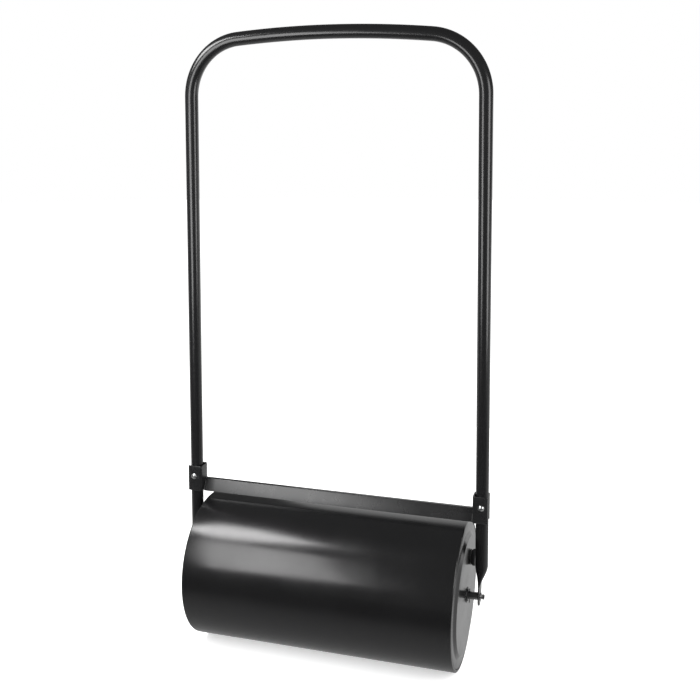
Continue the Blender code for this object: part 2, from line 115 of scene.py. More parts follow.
# how convex each vertex is goes into the attribute that the finishes read
def markEdges(piece, flat=12, full=34):
    bm = bmesh.new()
    bm.from_mesh(piece.data)
    worn = []
    for vert in bm.verts:
        paired = [e for e in vert.link_edges if len(e.link_faces) == 2]
        turn = max((e.calc_face_angle_signed(0) for e in paired), default=0)
        worn.append(min(1.0, max(0.0, (math.degrees(turn) - flat) / (full - flat))))
    bm.free()
    attribute = piece.data.attributes.new("edgeWear", "FLOAT", "POINT")
    attribute.data.foreach_set("value", worn)
    return piece


def settle(piece, body, replaced=()):
    markEdges(piece)
    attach(piece, body)
    if replaced:
        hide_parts(*replaced)
    return piece


# each corner of a flat outline becomes an arc; radius is one number or one for each corner
def rounded(corners, radius, count=4, closed=False):
    points = [Vector(c) for c in corners]
    total = len(points)
    radii = radius if isinstance(radius, (list, tuple)) else [radius] * total
    path = []
    for i, corner in enumerate(points):
        if radii[i] <= 0 or (not closed and i in (0, total - 1)):
            path.append(corner)
            continue
        before = (points[i - 1] - corner).normalized()
        after = (points[(i + 1) % total] - corner).normalized()
        half = before.angle(after) / 2
        size = min(radii[i], 0.49 * math.tan(half) * min((points[i - 1] - corner).length,
                                                          (points[(i + 1) % total] - corner).length))
        centre = corner + (before + after).normalized() * (size / math.sin(half))
        start = (corner + before * (size / math.tan(half)) - centre).normalized()
        end = (corner + after * (size / math.tan(half)) - centre).normalized()
        path += [centre + start.slerp(end, k / count) * size for k in range(count + 1)]
    return path


# a (radius, height) outline turned about +Z, then placed; wobble may shift the radius
def revolve(name, profile, material, turn, spot, steps=64, closed=False, wobble=None):
    bm = bmesh.new()
    place = Matrix.Translation(spot) @ turn
    rings = []
    for r, h in profile:
        if r < 1e-7:
            rings.append([bm.verts.new(place @ Vector((0, 0, h)))])
            continue
        ring = []
        for i in range(steps):
            angle = math.tau * i / steps
            size = r + (wobble(angle, h) if wobble else 0)
            ring.append(bm.verts.new(place @ Vector((size * math.cos(angle), size * math.sin(angle), h))))
        rings.append(ring)
    pairs = list(zip(rings, rings[1:])) + ([(rings[-1], rings[0])] if closed else [])
    for a, b in pairs:
        for i in range(steps):
            j = (i + 1) % steps
            corners = [a[i % len(a)], a[j % len(a)], b[j % len(b)], b[i % len(b)]]
            unique = list(dict.fromkeys(corners))
            if len(unique) > 2:
                bm.faces.new(unique)
    return finishMesh(bm, name, material)


def cutter(name, radius, length, turn, spot, steps=32):
    bm = bmesh.new()
    bmesh.ops.create_cone(bm, cap_ends=True, segments=steps, radius1=radius, radius2=radius, depth=length,
                          matrix=Matrix.Translation(spot) @ turn)
    return linked(name, meshFrom(bm, name))


def cut(piece, *cutters):
    for tool in cutters:
        mod = piece.modifiers.new("cut", "BOOLEAN")
        mod.object = tool
        mod.solver = "EXACT"
    baked(piece)
    for tool in cutters:
        bpy.data.objects.remove(tool, do_unlink=True)
    piece.data.set_sharp_from_angle(angle=math.radians(34))
    return piece


# shader groups, each built once

def groupTree(name, inputs):
    tree = bpy.data.node_groups.new(name, "ShaderNodeTree")
    tree.interface.new_socket("Vector", in_out="INPUT", socket_type="NodeSocketVector")
    for label, kind, value in (("Edge", "Float", 0.0), *inputs):
        socket = tree.interface.new_socket(label, in_out="INPUT", socket_type="NodeSocket" + kind)
        socket.default_value = value
    for label, kind in (("Color", "Color"), ("Roughness", "Float"), ("Height", "Float")):
        tree.interface.new_socket(label, in_out="OUTPUT", socket_type="NodeSocket" + kind)
    return tree, tree.nodes.new("NodeGroupInput"), tree.nodes.new("NodeGroupOutput")


def closeGroup(tree, out, color, rough, height):
    for label, value in (("Color", color), ("Roughness", rough), ("Height", height)):
        tree.links.new(value, out.inputs[label])
    return tree


# a node with its properties and sockets set; a socket's value may be another node's output
def addNode(tree, kind, settings=None, **sockets):
    node = tree.nodes.new(kind)
    for key, value in (settings or {}).items():
        setattr(node, key, value)
    for key, value in sockets.items():
        label = key.replace("_", " ")
        socket = node.inputs[int(key[1:])] if key[0] == "i" and key[1:].isdigit() else node.inputs[label]
        if isinstance(value, bpy.types.NodeSocket):
            tree.links.new(value, socket)
        else:
            socket.default_value = value
    return node


def addMath(tree, operation, a, b=0.0, clamp=False):
    settings = {"operation": operation, "use_clamp": clamp}
    return addNode(tree, "ShaderNodeMath", settings, i0=a, i1=b).outputs[0]


def times(tree, a, b):
    return addMath(tree, "MULTIPLY", a, b)


def addRange(tree, value, low, high, toLow=0.0, toHigh=1.0):
    ranged = addNode(tree, "ShaderNodeMapRange", {"interpolation_type": "SMOOTHSTEP"}, Value=value,
                     From_Min=low, From_Max=high, To_Min=toLow, To_Max=toHigh)
    return ranged.outputs["Result"]


def addMix(tree, factor, a, b):
    mix = tree.nodes.new("ShaderNodeMix")
    mix.data_type = "RGBA"
    for socket, value in ((mix.inputs[0], factor), (mix.inputs[6], a), (mix.inputs[7], b)):
        if isinstance(value, bpy.types.NodeSocket):
            tree.links.new(value, socket)
        else:
            socket.default_value = value
    return mix.outputs[2]


def noise(tree, vector, scale, detail=2.0, roughness=0.5):
    made = addNode(tree, "ShaderNodeTexNoise", Vector=vector, Scale=scale, Detail=detail, Roughness=roughness)
    return made.outputs["Fac"]


# sprayed and baked coat: orange peel, faint dust, softer gloss along worn edges
def buildCoatGroup():
    tree, into, out = groupTree("sprayCoat", [
        ("Color", "Color", (0.005, 0.005, 0.005, 1)), ("Gloss", "Float", 0.3), ("Peel", "Float", 420.0),
        ("Dust", "Float", 0.1), ("Wear", "Float", 0.3)])
    vector = into.outputs["Vector"]
    peel = noise(tree, vector, into.outputs["Peel"], 3.0, 0.45)
    cloud = noise(tree, vector, 9.0, 4.0, 0.6)
    specks = noise(tree, vector, 1500.0, 1.0, 0.5)
    dustMask = times(tree, addRange(tree, specks, 0.66, 0.80), into.outputs["Dust"])
    wearNoise = addRange(tree, noise(tree, vector, 160.0, 4.0, 0.65), 0.38, 0.62)
    wearMask = times(tree, times(tree, into.outputs["Edge"], wearNoise),
                       into.outputs["Wear"])
    tinted = addMix(tree, times(tree, cloud, 0.35), into.outputs["Color"], (0.0075, 0.0077, 0.0082, 1))
    dusted = addMix(tree, dustMask, tinted, (0.20, 0.195, 0.185, 1))
    color = addMix(tree, wearMask, dusted, (0.075, 0.075, 0.078, 1))
    rough = addMath(tree, "ADD", into.outputs["Gloss"], addRange(tree, cloud, 0.3, 0.7, -0.025, 0.035))
    rough = addMath(tree, "ADD", rough, times(tree, dustMask, 0.3))
    rough = addMath(tree, "ADD", rough, times(tree, wearMask, 0.25), clamp=True)
    height = addMath(tree, "ADD", times(tree, peel, 0.7), times(tree, specks, 0.3))
    return closeGroup(tree, out, color, rough, height)


# bare or plated metal: drawn streaks, stains and bright worn edges
def buildMetalGroup():
    tree, into, out = groupTree("bareMetal", [
        ("Color", "Color", (0.6, 0.6, 0.6, 1)), ("Stain", "Color", (0.4, 0.38, 0.34, 1)),
        ("Gloss", "Float", 0.3), ("Streaks", "Float", 900.0), ("Stretch", "Vector", (1.0, 1.0, 1.0))])
    vector = into.outputs["Vector"]
    drawn = addNode(tree, "ShaderNodeVectorMath", {"operation": "MULTIPLY"}, i0=vector,
                    i1=into.outputs["Stretch"])
    streak = noise(tree, drawn.outputs[0], into.outputs["Streaks"], 2.0, 0.6)
    spots = addRange(tree, noise(tree, vector, 130.0, 5.0, 0.6), 0.42, 0.68)
    stained = addMix(tree, times(tree, spots, 0.55), into.outputs["Color"], into.outputs["Stain"])
    bright = addMix(tree, times(tree, into.outputs["Edge"], 0.35), stained, (0.78, 0.78, 0.77, 1))
    rough = addMath(tree, "ADD", into.outputs["Gloss"], addRange(tree, streak, 0.3, 0.7, -0.06, 0.08))
    rough = addMath(tree, "ADD", rough, times(tree, spots, 0.12), clamp=True)
    return closeGroup(tree, out, bright, rough, streak)


coatGroup = buildCoatGroup()
metalGroup = buildMetalGroup()


# materials

def surface(name, group, values, bumpDistance, bumpStrength, metallic=0.0):
    mat = bpy.data.materials.new(name)
    mat.use_nodes = True
    tree = mat.node_tree
    shader = tree.nodes["Principled BSDF"]
    coords = tree.nodes.new("ShaderNodeTexCoord")
    edge = addNode(tree, "ShaderNodeAttribute", {"attribute_name": "edgeWear"})
    fill = addNode(tree, "ShaderNodeGroup", {"node_tree": group})
    tree.links.new(coords.outputs["Object"], fill.inputs["Vector"])
    tree.links.new(edge.outputs["Fac"], fill.inputs["Edge"])
    for label, value in values.items():
        fill.inputs[label].default_value = value
    bump = addNode(tree, "ShaderNodeBump", Strength=bumpStrength, Distance=bumpDistance,
                   Height=fill.outputs["Height"])
    tree.links.new(fill.outputs["Color"], shader.inputs["Base Color"])
    tree.links.new(fill.outputs["Roughness"], shader.inputs["Roughness"])
    tree.links.new(bump.outputs["Normal"], shader.inputs["Normal"])
    shader.inputs["Metallic"].default_value = metallic
    return mat


finishes = {
    "drum": {"Color": (0.0052, 0.0052, 0.0054, 1), "Gloss": 0.21, "Peel": 260.0, "Dust": 0.03, "Wear": 0.25},
    "handle": {"Color": (0.007, 0.007, 0.0073, 1), "Gloss": 0.22, "Peel": 520.0, "Dust": 0.02, "Wear": 0.03},
    "bracket": {"Color": (0.0085, 0.0085, 0.0088, 1), "Gloss": 0.27, "Peel": 520.0, "Dust": 0.04,
                "Wear": 0.35},
    "plastic": {"Color": (0.014, 0.014, 0.0145, 1), "Gloss": 0.42, "Peel": 900.0, "Dust": 0.06, "Wear": 0.15},
    "rubber": {"Color": (0.012, 0.012, 0.012, 1), "Gloss": 0.72, "Peel": 1200.0, "Dust": 0.15, "Wear": 0.1},
    "zinc": {"Color": (0.62, 0.63, 0.63, 1), "Stain": (0.50, 0.49, 0.45, 1), "Gloss": 0.27,
             "Streaks": 700.0, "Stretch": (1.0, 1.0, 1.0)},
    "steel": {"Color": (0.085, 0.085, 0.088, 1), "Stain": (0.05, 0.046, 0.042, 1), "Gloss": 0.34,
              "Streaks": 900.0, "Stretch": (0.06, 1.0, 1.0)},
    "nylon": {"Color": (0.016, 0.016, 0.0165, 1), "Gloss": 0.38, "Peel": 1100.0, "Dust": 0.05, "Wear": 0.1},
}
drumPaint = surface("drumPaint", coatGroup, finishes["drum"], 0.00006, 0.10)
handlePaint = surface("handlePaint", coatGroup, finishes["handle"], 0.00001, 0.10)
bracketPaint = surface("bracketPaint", coatGroup, finishes["bracket"], 0.00005, 0.14)
plugPlastic = surface("plugPlastic", coatGroup, finishes["plastic"], 0.0002, 0.25)
sealRubber = surface("sealRubber", coatGroup, finishes["rubber"], 0.0002, 0.3)
zincPlate = surface("zincPlate", metalGroup, finishes["zinc"], 0.0001, 0.2, metallic=1.0)
darkSteel = surface("darkSteel", metalGroup, finishes["steel"], 0.0001, 0.2, metallic=1.0)
bushNylon = surface("bushNylon", coatGroup, finishes["nylon"], 0.0001, 0.2)
print("materials ready")


# geometry node trees for what repeats or follows a path

def nodeTree(name, sizes, takesGeometry=False):
    tree = bpy.data.node_groups.new(name, "GeometryNodeTree")
    if takesGeometry:
        tree.interface.new_socket("Path", in_out="INPUT", socket_type="NodeSocketGeometry")
    for label, value in sizes.items():
        kind = "NodeSocketInt" if isinstance(value, int) else "NodeSocketFloat"
        tree.interface.new_socket(label, in_out="INPUT", socket_type=kind).default_value = value
    tree.interface.new_socket("Material", in_out="INPUT", socket_type="NodeSocketMaterial")
    tree.interface.new_socket("Geometry", in_out="OUTPUT", socket_type="NodeSocketGeometry")
    return tree, tree.nodes.new("NodeGroupInput"), tree.nodes.new("NodeGroupOutput")


def closeTree(tree, into, out, geometry):
    smooth = addNode(tree, "GeometryNodeSetShadeSmooth", Geometry=geometry)
    real = addNode(tree, "GeometryNodeRealizeInstances", Geometry=smooth.outputs[0])
    painted = addNode(tree, "GeometryNodeSetMaterial", Geometry=real.outputs[0],
                      Material=into.outputs["Material"])
    tree.links.new(painted.outputs[0], out.inputs["Geometry"])
    return tree


# one piece from a tree; path is a pair, its points and whether it is a closed loop
def runTree(tree, name, settings, material, place=None, path=None):
    if path:
        points, closed = path
        curve = bpy.data.curves.new(name, "CURVE")
        curve.dimensions = "3D"
        spline = curve.splines.new("POLY")
        spline.points.add(len(points) - 1)
        for point, spot in zip(spline.points, points):
            point.co = (*spot, 1)
        spline.use_cyclic_u = closed
        source = linked(name + "_source", curve)
    else:
        source = linked(name + "_source", bpy.data.meshes.new(name + "_source"))
    mod = source.modifiers.new("build", "NODES")
    mod.node_group = tree
    for item in tree.interface.items_tree:
        if item.in_out == "INPUT" and item.name in settings:
            mod[item.identifier] = settings[item.name]
        if item.in_out == "INPUT" and item.name == "Material":
            mod[item.identifier] = material
    bpy.context.view_layer.update()
    mesh = bpy.data.meshes.new_from_object(source.evaluated_get(bpy.context.evaluated_depsgraph_get()))
    source.modifiers.clear()
    bpy.data.objects.remove(source, do_unlink=True)
    bm = bmesh.new()
    bm.from_mesh(mesh)
    bpy.data.meshes.remove(mesh)
    if place:
        bmesh.ops.transform(bm, matrix=place, verts=bm.verts)
    return finishMesh(bm, name, material)


# flat ring with rounded edges; a split one is an open, slightly raised coil
def buildWasherTree(split):
    sizes = {"Bore": 0.003, "Rim": 0.006, "Thickness": 0.001, "Edge": 0.0002, "Steps": 48}
    if split:
        sizes.update({"Opening": 0.12, "Rise": 0.0003})
    tree, into, out = nodeTree("springRing" if split else "flatRing", sizes)
    mean = times(tree, addMath(tree, "ADD", into.outputs["Bore"], into.outputs["Rim"]), 0.5)
    width = addMath(tree, "SUBTRACT", into.outputs["Rim"], into.outputs["Bore"])
    if split:
        sweep = addMath(tree, "SUBTRACT", math.tau, into.outputs["Opening"])
        arc = addNode(tree, "GeometryNodeCurveArc", {"mode": "RADIUS"}, Resolution=into.outputs["Steps"],
                      Radius=mean, Sweep_Angle=sweep)
        part = addNode(tree, "GeometryNodeSplineParameter")
        rise = times(tree, addMath(tree, "SUBTRACT", part.outputs["Factor"], 0.5),
                       into.outputs["Rise"])
        lift = addNode(tree, "ShaderNodeCombineXYZ", Z=rise)
        path = addNode(tree, "GeometryNodeSetPosition", Geometry=arc.outputs["Curve"], Offset=lift.outputs[0])
    else:
        path = addNode(tree, "GeometryNodeCurvePrimitiveCircle", Resolution=into.outputs["Steps"],
                       Radius=mean)
    flat = addNode(tree, "GeometryNodeCurvePrimitiveQuadrilateral", Width=width,
                   Height=into.outputs["Thickness"])
    soft = addNode(tree, "GeometryNodeFilletCurve", {"mode": "POLY"}, Curve=flat.outputs[0], Count=3,
                   Radius=into.outputs["Edge"], Limit_Radius=True)
    swept = addNode(tree, "GeometryNodeCurveToMesh", Curve=path.outputs[0], Profile_Curve=soft.outputs[0],
                    Fill_Caps=True)
    return closeTree(tree, into, out, swept.outputs[0])


# a weld bead: a rippled round run along a path, its ends closed
def buildBeadTree():
    sizes = {"Radius": 0.002, "Ripple": 0.12, "Pitch": 0.002}
    tree, into, out = nodeTree("weldBead", sizes, takesGeometry=True)
    even = addNode(tree, "GeometryNodeResampleCurve", {"mode": "LENGTH"}, Curve=into.outputs["Path"],
                   Length=addMath(tree, "DIVIDE", into.outputs["Pitch"], 6.0))
    part = addNode(tree, "GeometryNodeSplineParameter")
    waves = times(tree, addMath(tree, "DIVIDE", part.outputs["Length"], into.outputs["Pitch"]), math.tau)
    swell = times(tree, addMath(tree, "SINE", waves), into.outputs["Ripple"])
    size = times(tree, addMath(tree, "ADD", swell, 1.0), into.outputs["Radius"])
    profile = addNode(tree, "GeometryNodeCurvePrimitiveCircle", Resolution=12, Radius=1.0)
    swept = addNode(tree, "GeometryNodeCurveToMesh", Curve=even.outputs[0], Profile_Curve=profile.outputs[0],
                    Scale=size, Fill_Caps=True)
    return closeTree(tree, into, out, swept.outputs[0])


def buildWireTree():       # round wire along a path
    tree, into, out = nodeTree("roundWire", {"Radius": 0.00075, "Sides": 16}, takesGeometry=True)
    profile = addNode(tree, "GeometryNodeCurvePrimitiveCircle", Resolution=into.outputs["Sides"],
                      Radius=into.outputs["Radius"])
    swept = addNode(tree, "GeometryNodeCurveToMesh", Curve=into.outputs["Path"],
                    Profile_Curve=profile.outputs[0], Fill_Caps=True)
    return closeTree(tree, into, out, swept.outputs[0])


# grip ribs standing round a cap, each a bar that narrows at both ends
def buildRibTree():
    sizes = {"Count": 30, "Circle": 0.018, "Rib Radius": 0.0007, "Rib Length": 0.004}
    tree, into, out = nodeTree("gripRibs", sizes)
    ring = addNode(tree, "GeometryNodeMeshCircle", Vertices=into.outputs["Count"],
                   Radius=into.outputs["Circle"])
    line = addNode(tree, "GeometryNodeCurvePrimitiveLine", Start=(0.0, 0.0, 0.0))
    top = addNode(tree, "ShaderNodeCombineXYZ", Z=into.outputs["Rib Length"])
    tree.links.new(top.outputs[0], line.inputs["End"])
    fine = addNode(tree, "GeometryNodeResampleCurve", {"mode": "COUNT"}, Curve=line.outputs[0], Count=9)
    part = addNode(tree, "GeometryNodeSplineParameter")
    inside = addNode(tree, "ShaderNodeMapRange", Value=part.outputs["Factor"], To_Min=0.06, To_Max=0.94)
    arch = addMath(tree, "SINE", times(tree, inside.outputs["Result"], math.pi))
    bulge = addMath(tree, "POWER", arch, 0.35)
    profile = addNode(tree, "GeometryNodeCurvePrimitiveCircle", Resolution=8,
                      Radius=into.outputs["Rib Radius"])
    rib = addNode(tree, "GeometryNodeCurveToMesh", Curve=fine.outputs[0], Profile_Curve=profile.outputs[0],
                  Scale=bulge, Fill_Caps=True)
    stand = addNode(tree, "GeometryNodeInstanceOnPoints", Points=ring.outputs[0], Instance=rib.outputs[0])
    return closeTree(tree, into, out, stand.outputs[0])


flatRing = buildWasherTree(split=False)
springRing = buildWasherTree(split=True)
weldBead = buildBeadTree()
roundWire = buildWireTree()
gripRibs = buildRibTree()
print("node trees ready")


# handle tube

handle = {
    "tubeRadius": 0.0139, "tubeWall": 0.0015, "legTaper": math.radians(1.40), "cornerRadius": 0.119,
    "crownAngle": math.radians(5.16), "tabThick": 0.0045, "tabWidth": 0.040, "tabInset": 0.0042,
    "tabTop": 0.0235, "flattenLength": 0.052, "tabFlatness": 0.65, "ringPoints": 48,
    "footSteps": 10, "flattenSteps": 24, "cornerSteps": 28, "crownSteps": 20, "legSteps": 8,
}
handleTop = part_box("handle_tube")[1].z
saddleBoltZ = middle("right_saddle_bolt").z
saddleBoltX = middle("right_saddle_bolt").x
legHalfSpacing = saddleBoltX + (saddleBoltZ - axleZ) * math.tan(handle["legTaper"])


def legX(rise):
    return legHalfSpacing - rise * math.tan(handle["legTaper"])


# right half from the tab's foot to the middle of the crown: centre, outward direction, flatness, half width
def handleStations():
    h = handle
    foot = h["tabWidth"] / 2
    last = math.radians(77)
    turns = [last * (1 - i / h["footSteps"]) for i in range(h["footSteps"] + 1)]
    rows = [(-foot * math.sin(t), foot * math.cos(t)) for t in turns]
    rows += [(h["tabTop"] * k, foot) for k in (0.25, 0.5, 0.75, 1.0)]
    rows += [(h["tabTop"] + h["flattenLength"] * i / h["flattenSteps"], None)
             for i in range(1, h["flattenSteps"] + 1)]
    stations = []
    leaning = Vector((math.cos(h["legTaper"]), 0, math.sin(h["legTaper"])))
    for rise, halfWidth in rows:
        t = min(1.0, max(0.0, (h["tabTop"] + h["flattenLength"] - rise) / h["flattenLength"]))
        flat = t * t * (3 - 2 * t)
        x = legX(rise) - (h["tabInset"] - rise * math.tan(h["legTaper"])) * flat
        out = Vector((1, 0, 0)).lerp(leaning, 1 - flat).normalized()
        stations.append((Vector((x, 0, axleZ + rise)), out, flat, halfWidth))
    beta, taper, rc = h["crownAngle"], h["legTaper"], h["cornerRadius"]
    top = handleTop - h["tubeRadius"]
    straight = top - axleZ - rc * (math.cos(beta) - math.sin(taper))
    span = legHalfSpacing - rc * (math.cos(taper) - math.sin(beta)) - math.tan(taper) * straight
    crown = span / (math.sin(beta) - math.tan(taper) * (1 - math.cos(beta)))
    corner = Vector(((crown - rc) * math.sin(beta), 0, top - crown + (crown - rc) * math.cos(beta)))
    legStart, legEnd = stations[-1][0], corner + leaning * rc
    stations += [(legStart.lerp(legEnd, i / h["legSteps"]), leaning, 0.0, None)
                 for i in range(1, h["legSteps"])]
    for i in range(h["cornerSteps"] + 1):
        slope = taper + (math.pi / 2 - beta - taper) * i / h["cornerSteps"]
        out = Vector((math.cos(slope), 0, math.sin(slope)))
        stations.append((corner + out * rc, out, 0.0, None))
    for i in range(1, h["crownSteps"] + 1):
        lean = beta * (1 - i / h["crownSteps"])
        out = Vector((math.sin(lean), 0, math.cos(lean)))
        stations.append((Vector((0, 0, top - crown)) + out * crown, out, 0.0, None))
    return stations


def handleSection(station, inset):
    centre, out, flat, halfWidth = station
    h = handle
    thick = h["tubeRadius"] + (h["tabThick"] / 2 - h["tubeRadius"]) * flat - inset
    full = h["tubeRadius"] + (h["tabWidth"] / 2 - h["tubeRadius"]) * flat
    wide = (full if halfWidth is None else halfWidth) - inset
    power = 1.0 - h["tabFlatness"] * flat
    points = []
    for i in range(h["ringPoints"]):
        angle = math.tau * (i + 0.5) / h["ringPoints"]
        across = math.copysign(abs(math.cos(angle)) ** power, math.cos(angle)) * thick
        points.append(centre + out * across + Vector((0, math.sin(angle) * wide, 0)))
    return points


def makeHandle():
    half = handleStations()
    mirrored = [(Vector((-c.x, 0, c.z)), Vector((-o.x, 0, o.z)), f, w) for c, o, f, w in half[:-1]]
    stations = half + mirrored[::-1]
    count = handle["ringPoints"]
    bm = bmesh.new()
    skins = [[[bm.verts.new(p) for p in handleSection(s, inset)] for s in stations]
             for inset in (0.0, handle["tubeWall"])]
    for skin in skins:
        for a, b in zip(skin, skin[1:]):
            for i in range(count):
                j = (i + 1) % count
                bm.faces.new((a[i], a[j], b[j], b[i]))
    for end in (0, -1):
        for i in range(count):
            j = (i + 1) % count
            bm.faces.new((skins[0][end][i], skins[0][end][j], skins[1][end][j], skins[1][end][i]))
    piece = finishMesh(bm, "handle_tube_bent", handlePaint, sharpAngle=40)
    holes = []
    for side, word in sides:
        tabX = middle(word + "_axle_washer").x - side * 0.005
        holes.append(cutter("hole", boltHole, 0.02, alongX, (tabX, 0, axleZ)))
        holes.append(cutter("hole", boltHole, 0.05, toFront, (side * saddleBoltX, 0, saddleBoltZ)))
    cut(piece, *holes)
    settle(piece, "handle_frame", ["handle_tube"])


# saddles and scraper bar

bracket = {"saddleWall": 0.003, "barWall": 0.0025, "bend": 0.002, "bendSteps": 8, "edgeRound": 0.0006,
           "barSlope": math.radians(25.0), "barWidth": 0.0295, "barFlange": 0.009}


# a strip bent along path and run along axis between low and high, thickened, with soft edges
def foldedSheet(name, path, low, high, axis, wall, material, shift=None, across=6):
    bm = bmesh.new()
    rows = []
    for k in range(across + 1):
        level = low + (high - low) * k / across
        rows.append([bm.verts.new(p + axis * level + (shift(p, level) if shift else Vector())) for p in path])
    for a, b in zip(rows, rows[1:]):
        for i in range(len(path) - 1):
            bm.faces.new((a[i], a[i + 1], b[i + 1], b[i]))
    piece = meshPiece(meshFrom(bm, name), name, material)
    solid = piece.modifiers.new("wall", "SOLIDIFY")
    solid.thickness = wall
    solid.offset = 1
    solid.use_even_offset = True
    soft = piece.modifiers.new("soft", "BEVEL")
    soft.width = bracket["edgeRound"]
    soft.segments = 3
    soft.limit_method = "ANGLE"
    soft.angle_limit = math.radians(50)
    return piece


def makeSaddle(side, word):
    tube = handle["tubeRadius"]
    low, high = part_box(word + "_saddle")
    front = tube + 0.0003
    web = tube + 0.002
    corners = [Vector((side * tube, -front, 0)), Vector((-side * web, -front, 0)),
               Vector((-side * web, front, 0)), Vector((side * tube, front, 0))]
    if side > 0:
        corners.reverse()
    path = rounded(corners, bracket["bend"], bracket["bendSteps"])
    height = high.z - low.z
    below = saddleBoltZ - low.z
    piece = foldedSheet(word + "_saddle_folded", path, -below + 0.0002, height - below - 0.0005,
                        Vector((0, 0, 1)), bracket["saddleWall"], bracketPaint)
    spot = Matrix.Translation((side * saddleBoltX, 0, saddleBoltZ))
    lean = Matrix.Rotation(-side * handle["legTaper"], 4, "Y")
    baked(piece)
    piece.data.transform(spot @ lean)
    cut(piece, cutter("hole", boltHole, 0.08, toFront, (side * saddleBoltX, 0, saddleBoltZ)))
    settle(piece, "handle_frame", [word + "_saddle"])


# the bar's outline, from its lower edge up over the bend to the end of the flange
def barPath():
    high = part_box("scraper_bar")[1]
    top = Vector((0, high.y - bracket["barFlange"], high.z))
    down = Vector((0, -math.sin(bracket["barSlope"]), -math.cos(bracket["barSlope"])))
    corners = [top + down * bracket["barWidth"], top, top + Vector((0, bracket["barFlange"], 0))]
    return rounded(corners, bracket["bend"], bracket["bendSteps"]), top


def makeBar():
    path, top = barPath()
    taper = math.tan(handle["legTaper"])
    low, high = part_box("scraper_bar")
    topReach = high.x - taper * (high.z - low.z)

    def lean(point, level):
        return Vector((math.copysign(taper * (top.z - point.z), level) * abs(level) / topReach, 0, 0))

    # the wall grows inward, so the outline starts on the face and the flange's top
    piece = foldedSheet("scraper_bar_folded", path, -topReach, topReach, Vector((1, 0, 0)),
                        bracket["barWall"], bracketPaint, shift=lean, across=24)
    baked(piece)
    settle(piece, "handle_frame", ["scraper_bar"])


# drum

drum = {"steps": 224, "rim": 0.0035, "lip": 0.006, "wall": 0.0012, "discWall": 0.0015, "gap": 0.0003,
        "discFlange": 0.014, "discRimWidth": 0.020, "raise": 0.005, "ramp": 0.010, "pressRadius": 0.0035,
        "flatRings": (0.035, 0.0605, 0.104), "hubRing": 0.003}


def makeShell():
    r, h, d = drumRadius, drumHalf, drum
    outer = rounded([(r - d["lip"], h), (r, h), (r, -h), (r - d["lip"], -h)], d["rim"], 8)
    inner = rounded([(r - d["lip"], -h + d["wall"]), (r - d["wall"], -h + d["wall"]),
                     (r - d["wall"], h - d["wall"]), (r - d["lip"], h - d["wall"])], d["rim"] - d["wall"], 6)
    # extra rings keep the long faces short enough for an even shade
    middleRings = [Vector((r, h * k / 4)) for k in (3, 2, 1, 0, -1, -2, -3)]
    split = len(outer) // 2
    profile = outer[:split] + middleRings + outer[split:] + inner
    piece = revolve("drum_shell_rolled", profile, drumPaint, alongX, axlePoint, steps=d["steps"], closed=True)
    settle(piece, "drum", ["drum_shell"])


# outer face from the hub out to the flange, then back along the inner face
def discProfile(bore):
    d = drum
    outer = drumRadius - d["lip"] - d["gap"]
    raised = outer - d["discRimWidth"] - d["ramp"]
    face, rim = drumHalf + d["raise"], drumHalf
    # flat rings keep the wear at the bore and at the filler hole from spreading over the face
    flat = [(bore, face), (bore + d["hubRing"], face)] + [(r, face) for r in d["flatRings"]]
    foot = raised + d["ramp"]
    press = d["pressRadius"]
    front = rounded(flat + [(raised, face), (foot, rim), (outer, rim), (outer, rim - d["discFlange"])],
                    [0] * len(flat) + [press, press, 0.0029, 0], 7)
    w = d["discWall"]
    back = rounded([(outer - w, rim - d["discFlange"]), (outer - w, rim - w), (foot - w * 0.4, rim - w),
                    (raised - w * 0.4, face - w), (bore, face - w)], [0, 0.0016, press, press, 0], 5)
    return front + back


def makeEndDisc(side, word):
    bore = reach("axle_tube").z / 2 + drum["gap"]
    piece = revolve(word + "_end_disc_pressed", discProfile(bore), drumPaint, sideTurn(side), axlePoint,
                    steps=drum["steps"], closed=True)
    if side > 0:
        neck = middle("filler_neck")
        cut(piece, cutter("hole", reach("filler_neck").z / 2 + drum["gap"], 0.03, alongX,
                          (drumHalf + drum["raise"], neck.y, neck.z), steps=64))
    settle(piece, "drum", [word + "_end_disc"])


welds = {
    "ring": {"Radius": 0.0011, "Ripple": 0.14, "Pitch": 0.0021},
    "seam": {"Radius": 0.0017, "Ripple": 0.05, "Pitch": 0.004},
    "bar": {"Radius": 0.0015, "Ripple": 0.12, "Pitch": 0.0024},
    "standOff": 0.0006, "proud": 0.0001, "seamAngle": math.radians(-35), "seamSink": 0.0012,
    "seamShare": 0.985, "barSides": (("front", -0.0004), ("back", 0.0030)), "barInset": 0.0002,
    "barFrom": 0.08, "barAlong": 0.84,
}


# a weld round a tube where it comes through an end disc
def ringWeld(name, side, radius, y, z, count):
    face = side * (drumHalf + drum["raise"] + welds["proud"])
    away = radius + welds["standOff"]
    loop = [(face, y + away * math.cos(a), z + away * math.sin(a))
            for a in (math.tau * i / count for i in range(count))]
    settle(runTree(weldBead, name, welds["ring"], drumPaint, path=(loop, True)), "drum")


